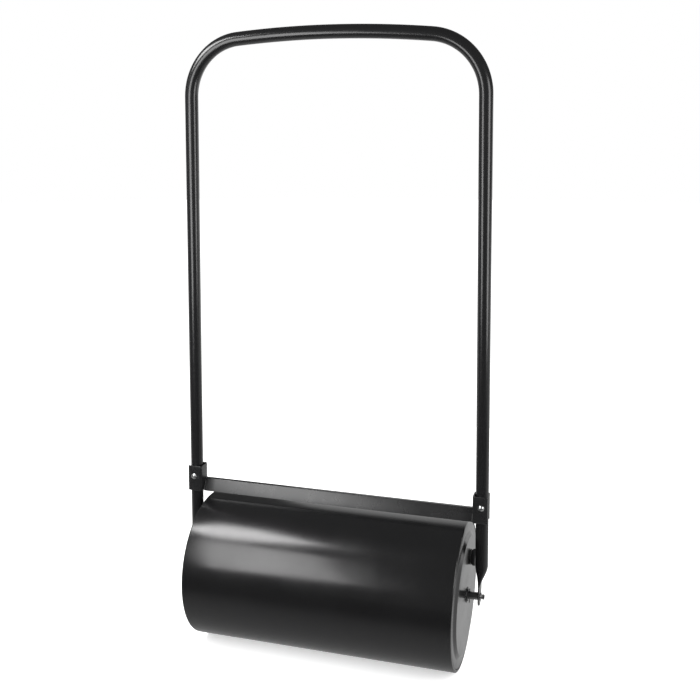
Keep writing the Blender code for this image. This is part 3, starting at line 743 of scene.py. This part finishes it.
def makeWelds():
    for side, word in sides:
        ringWeld(word + "_hub_weld", side, reach("axle_tube").z / 2, 0, axleZ, 48)
    neck = middle("filler_neck")
    ringWeld("neck_weld", 1, reach("filler_neck").z / 2, neck.y, neck.z, 56)
    deep = drumRadius - welds["seamSink"]
    angle = welds["seamAngle"]
    seam = [(drumHalf * k / 40 * welds["seamShare"], deep * math.cos(angle), axleZ + deep * math.sin(angle))
            for k in range(-40, 41)]
    settle(runTree(weldBead, "drum_seam", welds["seam"], drumPaint, path=(seam, False)), "drum")
    start, end = barPath()[0][:2]
    for side, word in sides:
        low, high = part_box(word + "_saddle")
        web = high.x if side < 0 else low.x
        for face, drop in welds["barSides"]:
            points = []
            for k in range(13):
                p = start.lerp(end, welds["barFrom"] + welds["barAlong"] * k / 12)
                points.append((web - side * welds["barInset"], p.y + drop, p.z))
            piece = runTree(weldBead, word + "_bar_weld_" + face, welds["bar"], bracketPaint,
                            path=(points, False))
            settle(piece, "handle_frame")


# axle, pins and bushes

axle = {"play": 0.0004, "chamfer": 0.0008, "pinHole": 0.0021, "bushFlange": 0.0012, "pipeWall": 0.0025,
        "pinEye": 0.0026, "pinSteps": 28, "springGap": 0.16}


def makeAxle():
    low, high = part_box("axle_rod")
    r, end = (high.z - low.z) / 2, high.x
    chamfer = axle["chamfer"]
    profile = [(0, end), (r - chamfer, end), (r, end - chamfer), (r, end * 0.9), (r, 0), (r, -end * 0.9),
               (r, chamfer - end), (r - chamfer, -end), (0, -end)]
    piece = revolve("axle_rod_turned", profile, darkSteel, alongX, axlePoint, steps=48)
    holes = []
    for side, word in sides:
        pin = middle(word + "_split_pin")
        boltLow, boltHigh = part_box(word + "_axle_bolt")
        tip = (boltLow.x if side > 0 else boltHigh.x) - side * drum["gap"]
        holes.append(cutter("hole", axle["pinHole"], 0.026, Matrix.Identity(4), (pin.x, 0, axleZ), steps=24))
        depth = abs(side * end - tip)
        holes.append(cutter("hole", boltHole, 2 * depth, alongX, (side * end, 0, axleZ), steps=24))
    cut(piece, *holes)
    settle(piece, "handle_frame", ["axle_rod"])


def makeBush(side, word):
    low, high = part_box(word + "_hub_bush")
    outer = (high.z - low.z) / 2
    near, far = sorted((abs(low.x), abs(high.x)))
    rodRadius = reach("axle_rod").z / 2
    bore = rodRadius + axle["play"]
    under = far - axle["bushFlange"]
    body = outer - axle["pipeWall"] - drum["gap"]
    corners = [(bore, far), (outer, far), (outer, under), (body, under), (body, near), (bore, near)]
    profile = rounded(corners, [0.0004, 0.0004, 0.0002, 0.0002, 0.0004, 0.0003], 3, closed=True)
    piece = revolve(word + "_hub_bush_turned", profile, bushNylon, sideTurn(side), axlePoint, closed=True)
    settle(piece, "drum", [word + "_hub_bush"])


def makeRings(side, word):       # every washer on one side, each from its own node's box
    turn = sideTurn(side)
    rows = (("_thrust_washer", "axle_rod", flatRing, turn), ("_axle_washer", None, flatRing, turn),
            ("_axle_spring_washer", None, springRing, turn), ("_saddle_washer", None, flatRing, toBack))
    for kind, inside, tree, direction in rows:
        node = word + kind
        size = reach(node)
        thick = min(size)
        rim = size.z / 2
        bore = reach(inside).z / 2 + axle["play"] if inside else boltHole
        settings = {"Bore": bore, "Rim": rim, "Thickness": thick, "Edge": thick * 0.22, "Steps": 64}
        if tree == springRing:
            settings.update({"Opening": axle["springGap"], "Rise": 0.0001, "Edge": thick * 0.12})
        place = Matrix.Translation(middle(node)) @ direction
        material, slot = (darkSteel, "dark_steel") if inside else (zincPlate, "zinc")
        piece = runTree(tree, node + "_stamped", settings, material, place=place)
        settle(piece, "handle_frame", [node])


def makePin(word):
    low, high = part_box(word + "_split_pin")
    x = (low.x + high.x) / 2
    wire = (high.x - low.x) / 2
    rod = reach("axle_rod").z / 2
    eye = axle["pinEye"]
    half = wire + 0.0001
    eyeZ = high.z - wire - eye
    foot = math.asin(half / eye)
    count = axle["pinSteps"]
    loop = [(eye * math.sin(foot + (math.tau - 2 * foot) * i / count),
             eyeZ - eye * math.cos(foot + (math.tau - 2 * foot) * i / count)) for i in range(count + 1)]
    legs = [(half + 2 * wire * (1 - k / 6) ** 1.4, low.z + (axleZ - rod - low.z) * k / 6) for k in range(7)]
    legs += [(half, axleZ), (half, axleZ + rod * 0.6)]
    outline = legs + loop + [(-y, z) for y, z in reversed(legs)]
    points = [(x, y, z) for y, z in outline]
    piece = runTree(roundWire, word + "_split_pin_bent", {"Radius": wire, "Sides": 14}, darkSteel,
                    path=(points, False))
    settle(piece, "handle_frame", [word + "_split_pin"])


# bolts and nuts

bolts = {"hexSteps": 72, "across": 0.010, "sideShare": 0.97, "chamferRows": 7, "chamfer": 0.62,
         "lead": 0.0005, "shank": 0.003, "tip": 0.0025, "domeTip": 0.0024, "axleHeadHigh": 0.005,
         "domeHigh": 0.0038, "domeSteps": 12, "pitch": 0.001, "threadDepth": 0.0004, "threadRows": 64,
         "threadLength": 0.0115, "threadEnd": 0.0006}


def hexRadius(angle, across):       # from the middle to a hexagon's side in one direction
    folded = (angle + math.pi / 6) % (math.pi / 3) - math.pi / 6
    return across / 2 / math.cos(folded)


# height by height, how far out the turned chamfer lets the hexagon reach
def hexSide(across, low, high):
    corner = across / 2 / math.cos(math.pi / 6)
    slope = math.tan(math.radians(30))
    start = across / 2 * bolts["sideShare"]
    levels = bolts["chamferRows"]
    deep = (corner - start) * slope * bolts["chamfer"] * 2
    rows = [(high - deep * k / levels, start + (corner - start) * k / levels) for k in range(levels + 1)]
    return rows + [(low, corner)]


# a hexagon from low to high with its chamfer on top, bored, or closed at its top
def makeHex(name, across, low, high, bore, material, turn, spot, bothEnds=False, extra=None):
    bm = bmesh.new()
    place = Matrix.Translation(spot) @ turn
    rows = hexSide(across, (low + high) / 2, high)
    if bothEnds:
        rows += [(low + high - h, limit) for h, limit in reversed(rows[:-1])]
    else:
        rows[-1] = (low, rows[-1][1])
    angles = [math.tau * i / bolts["hexSteps"] for i in range(bolts["hexSteps"])]
    lead = bolts["lead"]

    def ringAt(h, reachAt):
        return [bm.verts.new(place @ Vector((reachAt(a) * math.cos(a), reachAt(a) * math.sin(a), h)))
                for a in angles]

    def roundRing(radius, h):
        return ringAt(h, lambda a: radius)

    rings = [ringAt(h, lambda a, limit=limit: min(limit, hexRadius(a, across))) for h, limit in rows]
    if bore:
        rings = [roundRing(bore, high - lead), roundRing(bore + lead, high)] + rings
        rings += [roundRing(bore + lead, low), roundRing(bore, low + lead)]
        rings.append(rings[0])
    else:
        rings = [[bm.verts.new(place @ Vector((0, 0, high)))], roundRing(across * 0.25, high)] + rings
        for radius, h in (extra or []):
            rings.append(roundRing(radius, h) if radius > 0 else [bm.verts.new(place @ Vector((0, 0, h)))])
    for a, b in zip(rings, rings[1:]):
        for i in range(len(angles)):
            j = (i + 1) % len(angles)
            unique = list(dict.fromkeys([a[i % len(a)], a[j % len(a)], b[j % len(b)], b[i % len(b)]]))
            if len(unique) > 2:
                bm.faces.new(unique)
    return finishMesh(bm, name, material, sharpAngle=20)


# a cut thread between two heights: the radius falls and rises once for each pitch
def threadWobble(pitch, depth, start, end):
    def wobble(angle, h):
        if not start <= h <= end:
            return 0.0
        part = (h / pitch - angle / math.tau) % 1.0
        return -depth * (1 - abs(2 * part - 1))
    return wobble


def makeAxleBolt(side, word):
    low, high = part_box(word + "_axle_bolt")
    outer = max(abs(low.x), abs(high.x))
    inner = min(abs(low.x), abs(high.x))
    headLow = outer - bolts["axleHeadHigh"]
    shank = bolts["shank"]
    extra = [(shank, headLow), (shank, inner + bolts["lead"]), (bolts["tip"], inner), (0, inner)]
    piece = makeHex(word + "_axle_bolt_head", bolts["across"], headLow, outer, 0, darkSteel, sideTurn(side),
                    axlePoint, extra=extra)
    settle(piece, "handle_frame", [word + "_axle_bolt"])


def makeSaddleBolt(side, word):
    low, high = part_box(word + "_saddle_bolt")
    spot = Vector((side * saddleBoltX, 0, saddleBoltZ))
    front, back = -low.y, high.y
    headRadius = (high.z - low.z) / 2
    headHigh = bolts["domeHigh"]
    face = front - headHigh
    sphere = (headRadius ** 2 + headHigh ** 2) / (2 * headHigh)
    steps = [math.asin(headRadius / sphere) * i / bolts["domeSteps"] for i in range(bolts["domeSteps"])]
    dome = [(sphere * math.sin(a), front - sphere * (1 - math.cos(a))) for a in steps]
    radius, rows = bolts["shank"], bolts["threadRows"]
    threadTop = -(back - bolts["threadLength"])
    threadEnd = -back + bolts["threadEnd"]
    shank = [(radius, threadTop + (threadEnd - threadTop) * k / rows) for k in range(rows + 1)]
    profile = dome + [(headRadius, face + 0.0004), (headRadius - 0.0003, face), (radius, face)]
    profile += [(radius, threadTop + 0.0001)] + shank + [(bolts["domeTip"], -back), (0, -back)]
    piece = revolve(word + "_saddle_bolt_domed", profile, zincPlate, toFront, spot, steps=48,
                    wobble=threadWobble(bolts["pitch"], bolts["threadDepth"], threadEnd, threadTop))
    settle(piece, "handle_frame", [word + "_saddle_bolt"])
    nutLow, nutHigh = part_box(word + "_saddle_nut")
    piece = makeHex(word + "_saddle_nut_chamfered", bolts["across"], nutLow.y, nutHigh.y, boltHole, zincPlate,
                    toBack, spot, bothEnds=True)
    settle(piece, "handle_frame", [word + "_saddle_nut"])


# filler

filler = {"neckWall": 0.0035, "play": 0.0005, "soft": 0.0005, "steps": 72}
plug = {"wall": 0.0020, "hollow": 0.0025, "inset": 0.0009, "ramp": 0.0011, "dish": 0.0085, "dishEdge": 0.0102,
        "dishDeep": 0.0028, "ribs": 36, "ribRadius": 0.0009, "bar": (0.0026, 0.0170, 0.0036),
        "barSink": 0.0020, "barSoft": 0.0007}


def makeFiller():
    neck = middle("filler_neck")
    low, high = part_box("filler_neck")
    radius = (high.z - low.z) / 2
    wall, steps = filler["neckWall"], filler["steps"]
    spot = Vector((0, neck.y, neck.z))
    corners = [(radius - wall, high.x), (radius, high.x), (radius, low.x), (radius - wall, low.x)]
    piece = revolve("filler_neck_turned", rounded(corners, filler["soft"], 3, closed=True), darkSteel, alongX,
                    spot, steps=steps, closed=True)
    settle(piece, "drum", ["filler_neck"])
    gasketLow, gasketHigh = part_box("plug_gasket")
    thick = gasketHigh.x - gasketLow.x
    place = Matrix.Translation(((gasketLow.x + gasketHigh.x) / 2, neck.y, neck.z)) @ alongX
    settings = {"Bore": radius - wall + drum["gap"], "Rim": (gasketHigh.z - gasketLow.z) / 2,
                "Thickness": thick, "Edge": thick * 0.45, "Steps": steps}
    settle(runTree(flatRing, "plug_gasket_moulded", settings, sealRubber, place=place), "plug_seal",
           ["plug_gasket"])
    makePlug(spot, radius - wall - filler["play"])


def makePlug(spot, shank):
    low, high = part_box("filler_plug")
    cap = (high.z - low.z) / 2
    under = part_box("plug_gasket")[1].x + drum["gap"]
    top = high.x
    core = cap - plug["inset"]
    ramp, dished = plug["ramp"], top - plug["dishDeep"]
    bore, floor = shank - plug["wall"], under + plug["hollow"]
    profile = rounded([(0, dished), (plug["dish"], dished), (plug["dishEdge"], top), (core - ramp, top),
                       (core, top - ramp), (core, under + 0.0004), (core - 0.0004, under), (shank, under),
                       (shank, low.x), (bore, low.x), (bore, floor), (0, floor)],
                      [0, 0.0006, 0.0006, 0.0006, 0.0008, 0.0002, 0, 0.0002, 0.0005, 0.0005, 0.0015, 0], 3)
    piece = revolve("filler_plug_moulded", profile, plugPlastic, alongX, spot, steps=96)
    settle(piece, "plug", ["filler_plug"])
    settings = {"Count": plug["ribs"], "Circle": core, "Rib Radius": plug["ribRadius"],
                "Rib Length": top - under - 0.0008}
    ribs = runTree(gripRibs, "plug_grip_ribs", settings, plugPlastic,
                   place=Matrix.Translation((under + 0.0003, spot.y, spot.z)) @ alongX)
    settle(ribs, "plug")
    bm = bmesh.new()
    bmesh.ops.create_cube(bm, size=1.0, matrix=Matrix.Translation((top - plug["barSink"], spot.y, spot.z))
                          @ Matrix.Diagonal((*plug["bar"], 1)))
    bmesh.ops.bevel(bm, geom=list(bm.edges), offset=plug["barSoft"], segments=3, profile=0.5, affect="EDGES")
    settle(finishMesh(bm, "plug_turning_bar", plugPlastic), "plug")


# build

makeHandle()
makeBar()
makeShell()
makeAxle()
makeFiller()
for side, word in sides:
    makeSaddle(side, word)
    makeEndDisc(side, word)
    makeBush(side, word)
    makeRings(side, word)
    makePin(word)
    makeAxleBolt(side, word)
    makeSaddleBolt(side, word)
makeWelds()
nodes["axle_tube"].data.materials.clear()
nodes["axle_tube"].data.materials.append(darkSteel)
print("pieces ready")


# floor, light and camera

# nearGlow and backGlow, with their ranges, are a painted reflection: a glow on the floor that only glossy
# rays see, not a lamp
studio = {
    "floorRadius": 14.0, "floorWhite": 0.96, "floorLift": 0.45, "nearGlow": 0.45, "glowFrom": -0.62,
    "glowTo": -0.16, "backGlow": 0.25, "backFrom": -0.10, "backTo": 0.06,
    "worldSeen": 1.0, "worldDiffuse": 1.0, "worldGlossy": 0.12,
    "lights": {
        "frontLeft": {"at": (-0.53, -1.0, 0.93), "facing": (0.0, 0.0, 0.60), "size": (0.50, 0.86),
                      "lean": 21.0, "lum": 7.0},
        "overhead": {"at": (-0.78, -0.50, 1.60), "facing": (-0.70, -0.44, 0.0), "size": (0.48, 0.55),
                     "lean": 0.0, "lum": 17.0},
        "rightSide": {"at": (1.35, -0.48, 1.05), "facing": (0.2, -0.05, 0.9), "size": (0.55, 1.1),
                      "lean": 0.0, "lum": 6.0},
        "lowBack": {"at": (0.9, 1.7, 0.68), "facing": (0.9, 0.0, 0.68), "size": (3.2, 1.38),
                    "lean": 0.0, "lum": 0.85},
    },
}


def makeFloor():
    bm = bmesh.new()
    bmesh.ops.create_circle(bm, cap_ends=True, segments=96, radius=studio["floorRadius"])
    floor = linked("floor", meshFrom(bm, "floor"))
    mat = bpy.data.materials.new("paleFloor")
    mat.use_nodes = True
    tree = mat.node_tree
    tree.nodes.remove(tree.nodes["Principled BSDF"])
    white = studio["floorWhite"]
    diffuse = addNode(tree, "ShaderNodeBsdfDiffuse", Color=(white, white, white, 1))
    lift = addNode(tree, "ShaderNodeEmission", Strength=studio["floorLift"])
    plain = addNode(tree, "ShaderNodeAddShader", i0=diffuse.outputs[0], i1=lift.outputs[0])
    # painted reflection: to glossy rays the floor is only a glow, with none far in front of the drum, rising
    # towards it and brighter again behind it
    coords = tree.nodes.new("ShaderNodeTexCoord")
    parts = addNode(tree, "ShaderNodeSeparateXYZ", Vector=coords.outputs["Object"])
    near = addRange(tree, parts.outputs["Y"], studio["glowFrom"], studio["glowTo"], 0.0, studio["nearGlow"])
    behind = addRange(tree, parts.outputs["Y"], studio["backFrom"], studio["backTo"], 0.0, studio["backGlow"])
    glow = addMath(tree, "ADD", near, behind)
    paintedReflectionGlow = addNode(tree, "ShaderNodeEmission", Strength=glow)
    light = tree.nodes.new("ShaderNodeLightPath")
    mixed = addNode(tree, "ShaderNodeMixShader", Fac=light.outputs["Is Glossy Ray"], i1=plain.outputs[0],
                    i2=paintedReflectionGlow.outputs[0])
    tree.links.new(mixed.outputs[0], tree.nodes["Material Output"].inputs["Surface"])
    floor.data.materials.append(mat)


def makeWorld():
    world = bpy.data.worlds.new("studio")
    bpy.context.scene.world = world
    world.use_nodes = True
    tree = world.node_tree
    back = tree.nodes["Background"]
    light = tree.nodes.new("ShaderNodeLightPath")
    glossy = addNode(tree, "ShaderNodeMapRange", Value=light.outputs["Is Glossy Ray"],
                     To_Min=studio["worldDiffuse"], To_Max=studio["worldGlossy"])
    seen = addNode(tree, "ShaderNodeMix", {"data_type": "FLOAT"}, i0=light.outputs["Is Camera Ray"],
                   i2=glossy.outputs["Result"], i3=studio["worldSeen"])
    back.inputs["Color"].default_value = (1, 1, 1, 1)
    tree.links.new(seen.outputs[0], back.inputs["Strength"])


def makeLights():
    for name, row in studio["lights"].items():
        data = bpy.data.lights.new(name, "AREA")
        data.shape = "RECTANGLE"
        data.size, data.size_y = row["size"]
        data.energy = row["lum"] * math.pi * data.size * data.size_y
        lamp = linked(name, data)
        at, facing = Vector(row["at"]), Vector(row["facing"])
        lamp.location = at
        aimed = (facing - at).to_track_quat("-Z", "Y").to_matrix()
        lamp.rotation_euler = (aimed @ Matrix.Rotation(math.radians(row["lean"]), 3, "Z")).to_euler()
        lamp.visible_camera = False


def makeCamera():
    view = {"aim": (0.038, 0.0, 0.70), "distance": 2.0107, "azimuth": 16.48, "elevation": 13.34,
            "roll": 0.06, "lens": 48.22, "sensor": 36.0}
    data = bpy.data.cameras.new("view")
    data.lens, data.sensor_width = view["lens"], view["sensor"]
    data.dof.use_dof = False
    camera = linked("view", data)
    az, el = math.radians(view["azimuth"]), math.radians(view["elevation"])
    back = Vector((math.sin(az) * math.cos(el), -math.cos(az) * math.cos(el), math.sin(el)))
    upright = back.to_track_quat("Z", "Y").to_matrix().to_4x4()
    turn = upright @ Matrix.Rotation(math.radians(view["roll"]), 4, "Z")
    camera.matrix_world = Matrix.Translation(Vector(view["aim"]) + back * view["distance"]) @ turn
    bpy.context.scene.camera = camera
    bpy.context.scene.view_settings.view_transform = "Standard"


makeFloor()
makeWorld()
makeLights()
makeCamera()
print("studio ready")
